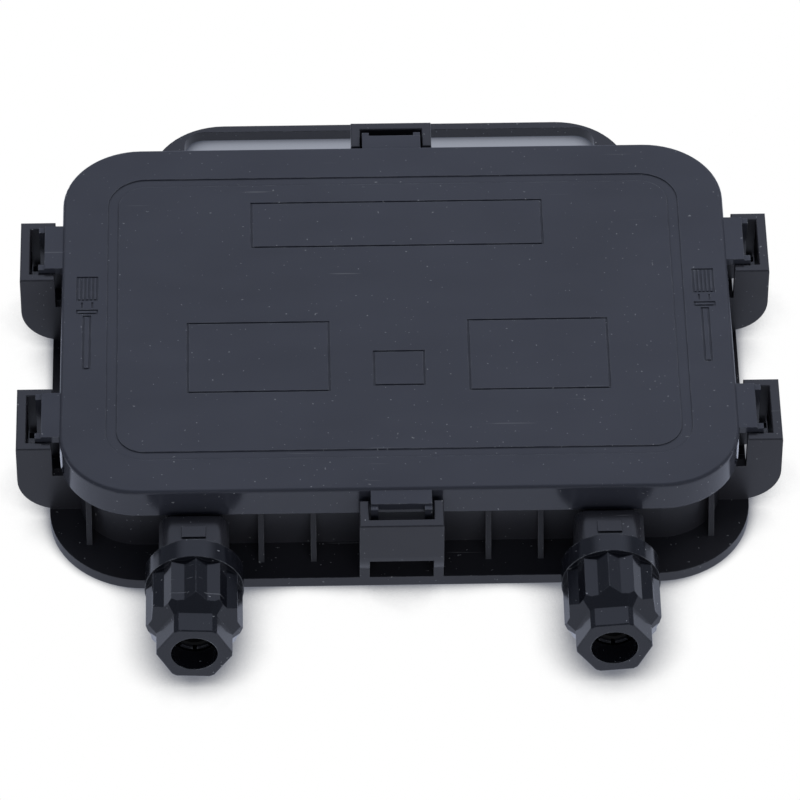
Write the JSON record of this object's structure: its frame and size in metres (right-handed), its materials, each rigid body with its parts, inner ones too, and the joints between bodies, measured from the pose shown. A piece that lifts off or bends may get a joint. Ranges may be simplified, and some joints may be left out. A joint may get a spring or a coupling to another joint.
{
  "type": "pv junction box",
  "caption": "Flat junction box for a solar panel: flanged tray, clipped lid, two screwed cable glands, terminal rails and bypass diodes inside.",
  "frame": {"origin": "on the mounting face, under the centre of the lid", "axes": "+X along the lid towards the right-hand gland, -Y out of the cable glands, +Z away from the panel"},
  "size_m": [0.1466, 0.1488, 0.0205],
  "materials": {
    "base_plastic": "satin",
    "lid_plastic": "fine satin texture",
    "gasket_rubber": "matt",
    "screw_steel": "zinc plated",
    "rail_copper": "tin plated copper",
    "spring_steel": "bright",
    "clamp_brass": "nickel plated",
    "diode_body": "moulded epoxy",
    "nut_plastic": "glossy",
    "claw_plastic": "satin",
    "seal_rubber": "matt"
  },
  "bodies": {
    "base": {"base": "base_plastic", "terminal_rail_1": "rail_copper", "terminal_rail_2": "rail_copper", "terminal_rail_3": "rail_copper", "terminal_rail_4": "rail_copper", "rail_screws": "screw_steel", "clamp_screws": "screw_steel", "cable_clamp_left": "clamp_brass", "cable_clamp_right": "clamp_brass", "bypass_diode_1": "diode_body", "bypass_diode_2": "diode_body", "bypass_diode_3": "diode_body", "ribbon_clip_1": "spring_steel", "ribbon_clip_2": "spring_steel", "ribbon_clip_3": "spring_steel", "ribbon_clip_4": "spring_steel"},
    "lid": {"lid": "lid_plastic", "lid_gasket": "gasket_rubber"},
    "left_insert": {"gland_seal_left": "seal_rubber", "gland_claw_left": "claw_plastic"},
    "left_nut": {"gland_nut_left": "nut_plastic"},
    "right_insert": {"gland_seal_right": "seal_rubber", "gland_claw_right": "claw_plastic"},
    "right_nut": {"gland_nut_right": "nut_plastic"}
  },
  "joints": [
    {"name": "lid_lift", "type": "slide", "parent": "base", "child": "lid", "axis": [0, 0, 1], "range_m": [0, 0.04]},
    {"name": "left_gland_travel", "type": "slide", "parent": "base", "child": "left_insert", "axis": [0, -1, 0], "range_m": [0, 0.0045]},
    {"name": "left_nut_turn", "type": "hinge", "parent": "left_insert", "child": "left_nut", "pos_m": [-0.0394, -0.067, 0.0097], "axis": [0, -1, 0], "range_deg": [0, 1080]},
    {"name": "right_gland_travel", "type": "slide", "parent": "base", "child": "right_insert", "axis": [0, -1, 0], "range_m": [0, 0.0045]},
    {"name": "right_nut_turn", "type": "hinge", "parent": "right_insert", "child": "right_nut", "pos_m": [0.0394, -0.067, 0.0097], "axis": [0, -1, 0], "range_deg": [0, 1080]}
  ],
  "couplings": [
    {"joint": "left_gland_travel", "follows": "left_nut_turn", "m_per_rad": 0.00023873},
    {"joint": "right_gland_travel", "follows": "right_nut_turn", "m_per_rad": 0.00023873}
  ]
}
